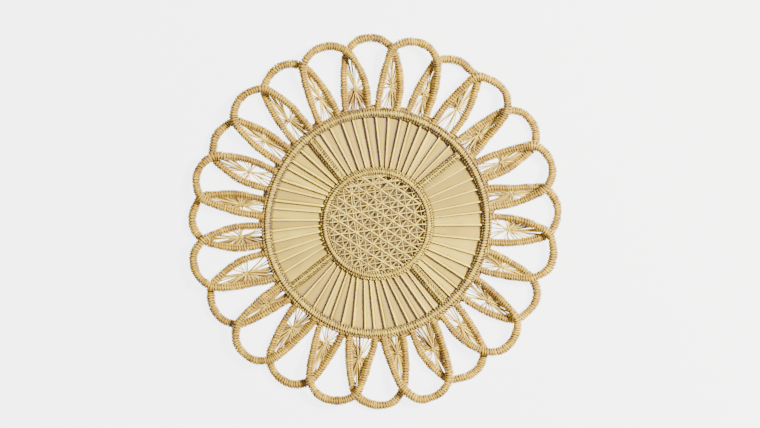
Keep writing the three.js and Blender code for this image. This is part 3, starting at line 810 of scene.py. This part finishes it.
def make_lattice():
    rng = random.Random(21)
    bm = new_shape()
    for heading, step, z, wide, high, shine in THREADS:
        along = heading.normalized()
        side = Vector((-along.y, along.x, 0))
        for n in range(-15, 16):
            for twin in range(2 if wide < 0.6 and rng.random() < 0.18 else 1):
                start = FIRST_NODE + step * n
                offset = (start - HUB).dot(side) + rng.uniform(-0.45, 0.45) + 1.3 * twin
                if abs(offset) > CENTRE_R - 1:
                    continue
                half = math.sqrt(CENTRE_R ** 2 - offset ** 2)
                points = thread_line(rng, along, side, offset, half, z)
                strand(bm, points, wide * rng.uniform(0.7, 1.15), high * rng.uniform(0.85, 1.15),
                       rng.uniform(0.25, 1.0) * shine, sides=6)
    for n in range(-9, 10):
        for m in range(-9, 10):
            node = FIRST_NODE + STEP_A * n + STEP_B * m
            if (node - HUB).length > CENTRE_R - 2:
                continue
            lean = rng.uniform(0, 3.1)
            for turn in (lean, lean + 1.3):
                across = toward(turn) * rng.uniform(1.0, 1.5)
                strand(bm, [raised(node - across, 4.2), raised(node, 4.8), raised(node + across, 4.2)],
                       rng.uniform(0.45, 0.65), 0.3, rng.uniform(0.5, 1.1))
    piece("lattice_weave", bm, lattice_straw, "straw", "centre_lattice")


# Stars: straws from a knot to the rim, to the lens's tip and to its two sides.
STAR_NEAR = 48
LONGEST_STRAW = 60
UNDER_RIM = 1.2
STRAW_THICK = 0.3


def star_reach(knot, turn, near, stop):
    """How long a straw is: it ends under the rim, or at the distance stop from the middle of a loop."""
    along = toward(turn)
    length = 3.0
    while length < LONGEST_STRAW:
        spot = knot + along * length
        if (spot - RIM).length < RIM_OUT - UNDER_RIM + stray(turn_round(RIM, spot)):
            break
        if min((raised(p, 0) - spot).length_squared for p in near) < stop * stop:
            break
        length += 0.5
    return length


# The parts of each lens where the straws lie close: sides a and b, inner half and outer half.
CLOSE_WEBS = [
    "ai bi bo", "ai ao bo", "ai ao bi bo", "bo", "ai ao", "ai ao", "ai bi", "ai",
    "ai", "ai", "", "ai ao bo", "bi bo", "bi bo", "ai ao bi bo", "ao bi bo",
    "ao bo", "ai ao bo", "ai ao bi bo", "ai bi bo", "ao bo", "bi bo", "bi", "bo",
]
WEB_TURNS = dict(ao=(-80, -8), ai=(-172, -96), bo=(8, 80), bi=(96, 172))


def star_straw_line(bm, rng, knot, turn, length, rise, wide, tone, spread=0.9):
    along = toward(turn)
    side = Vector((-along.y, along.x, 0))
    start = side * rng.uniform(-spread, spread) + along * rng.uniform(-0.4, 0.8)
    bend = rng.uniform(-0.6, 0.6)
    points = []
    for step in range(6):
        share = step / 5
        z = rise[0] + (rise[1] - rise[0]) * (1 - share) ** 2 + rng.uniform(-0.1, 0.1)
        points.append(raised(knot, z) + start * (1 - share) + along * (length * share)
                      + side * (bend * math.sin(math.pi * share)))
    # The straw's two ends get painted shade, the far end most.
    strand(bm, points, wide, STRAW_THICK, tone, painted_shades=(0.15, 0, 0, 0, 0.15, 0.55))


def star_turns(lens, knot, rng):
    """The directions of a star's own straws: to the rim, all round the far side, and to the lens's tip."""
    turns = []
    span = lens["foot_b"] - lens["foot_a"]
    for n in range(6):
        share = 0.06 + 0.88 * n / 5 + rng.uniform(-0.05, 0.05)
        end = on_circle(lens["foot_a"] + span * share, RIM, RIM_OUT)
        turns.append(math.atan2(end.y - knot.y, end.x - knot.x))
    for n in range(13):
        turns.append(math.radians(lens["knot"]) + math.radians(-112 + 224 * n / 12 + rng.uniform(-6, 6)))
    tip = at(lens["cross"], lens["cross_r"], 0) - knot
    tip_turn = math.atan2(tip.y, tip.x)
    for n in range(6):
        turns.append(tip_turn + math.radians(-11 + 22 * n / 5 + rng.uniform(-2, 2)))
    return turns


def close_web(bm, rng, knot, outward, near, part):
    """Straws side by side in one part of a lens, a darker layer of them underneath as painted shade, and a
    few across.
    """
    first, last = WEB_TURNS[part]
    for n in range(16):
        turn = outward + math.radians(first + (last - first) * n / 15 + rng.uniform(-3, 3))
        reach = star_reach(knot, turn, near, 1.6)
        star_straw_line(bm, rng, knot, turn, reach, (2.0 + 0.9 * (n % 2), 2.6),
                        rng.uniform(0.55, 0.95), rng.uniform(-0.45, 0.7), 1.8)
    for n in range(9):
        # This lower layer is dark straw put in as painted shade between the straws above.
        turn = outward + math.radians(first + (last - first) * n / 8 + rng.uniform(-4, 4))
        reach = star_reach(knot, turn, near, 1.2)
        star_straw_line(bm, rng, knot, turn, reach, (1.0, 1.3), rng.uniform(0.6, 1.0),
                        rng.uniform(-0.7, -0.1), 1.8)
    for n in range(4):
        middle = outward + math.radians(0.5 * (first + last) + rng.uniform(-22, 22))
        reach = star_reach(knot, middle, near, 1.6) * rng.uniform(0.35, 0.9)
        spot = knot + toward(middle) * reach
        turn = middle + math.radians(rng.choice((-1, 1)) * rng.uniform(50, 90))
        across = toward(turn) * min(5.0, 0.45 * reach)
        strand(bm, [raised(spot - across, 1.6), raised(spot, 2.0), raised(spot + across, 1.6)],
               rng.uniform(0.4, 0.7), STRAW_THICK, rng.uniform(-0.2, 0.5))


def wound_knot(bm, rng, knot):
    """Five loose turns of straw on top of each other at the middle of a star."""
    for n in range(5):
        lean = rng.uniform(0, 6.3)
        wide, long = rng.uniform(1.2, 2.1), rng.uniform(1.0, 1.7)
        ring = []
        for step in range(9):
            turn = lean + 2 * math.pi * step / 8
            ring.append(raised(knot, 3.1 + 0.3 * n) + Vector((
                wide * math.cos(turn), long * math.sin(turn), 0.35 * math.sin(turn * 2 + n))))
        strand(bm, ring, 0.45, 0.38, rng.uniform(0.2, 1.0), taper=0.9)


def make_stars():
    for k, lens in enumerate(LENSES):
        rng = random.Random(300 + k)
        knot = at(lens["knot"], lens["knot_r"], 0)
        sides = LOOP_LINES[k] + LOOP_LINES[k - 1]
        near = [p for p in sides if (raised(p, 0) - knot).length < STAR_NEAR]
        bm = new_shape()
        for n, turn in enumerate(star_turns(lens, knot, rng)):
            rise = (2.9, 4.0) if n % 2 else (2.0, 2.5)
            star_straw_line(bm, rng, knot, turn, star_reach(knot, turn, near, 2.0), rise,
                            rng.uniform(0.5, 0.9), rng.uniform(0.25, 1.1))
        for part in CLOSE_WEBS[k].split():
            close_web(bm, rng, knot, math.radians(lens["knot"]), near, part)
        wound_knot(bm, rng, knot)
        piece(f"straw_star_{k + 1:02d}", bm, star_straw, "straw", f"star_{k + 1:02d}")


make_loops()
make_rings()
make_spokes()
make_panels()
make_backing()
make_lattice()
make_stars()

# Table and light: a pale floor that glows, a soft key light from the right and a bright surround.
FLOOR_DROP = 0.0004
FLOOR_TONE = (0.4, 0.4, 0.4, 1)
FLOOR_GLOW = (0.93, 0.95, 1, 1)
GLOW_STRENGTH = 4.6
SURROUND_TONE = (0.84, 0.68, 0.95, 1)
SURROUND_STRENGTH = 0.55
KEY_PLACE = (1.65, 0.55, 1.15)
KEY_SIZE, KEY_POWER = 0.5, 215
KEY_TONE = (1, 0.9, 0.62)
floor_mesh = bpy.data.meshes.new("table")
table_shape = bmesh.new()
bmesh.ops.create_grid(table_shape, x_segments=1, y_segments=1, size=3)
table_shape.to_mesh(floor_mesh)
table_shape.free()
table = bpy.data.objects.new("table", floor_mesh)
table.location.z = -FLOOR_DROP
bpy.context.scene.collection.objects.link(table)
table_finish = Finish("table_top", (0.95, 0.95, 0.95, 1))
table_surface = table_finish.node("ShaderNodeBsdfPrincipled", inputs={
    "Base Color": FLOOR_TONE, "Roughness": 0.9,
    "Emission Color": FLOOR_GLOW, "Emission Strength": GLOW_STRENGTH})
table_finish.node("ShaderNodeOutputMaterial", inputs={"Surface": table_surface})
table.data.materials.append(table_finish.material)

world = bpy.data.worlds.new("surround")
world.use_nodes = True
world.node_tree.nodes["Background"].inputs["Color"].default_value = SURROUND_TONE
world.node_tree.nodes["Background"].inputs["Strength"].default_value = SURROUND_STRENGTH
bpy.context.scene.world = world


def lamp(name, place, size, power, colour):
    data = bpy.data.lights.new(name, "AREA")
    data.size = size
    data.energy = power
    data.color = colour
    made = bpy.data.objects.new(name, data)
    made.location = place
    made.rotation_euler = (-Vector(place)).to_track_quat("-Z", "Y").to_euler()
    bpy.context.scene.collection.objects.link(made)


lamp("key", KEY_PLACE, KEY_SIZE, KEY_POWER, KEY_TONE)
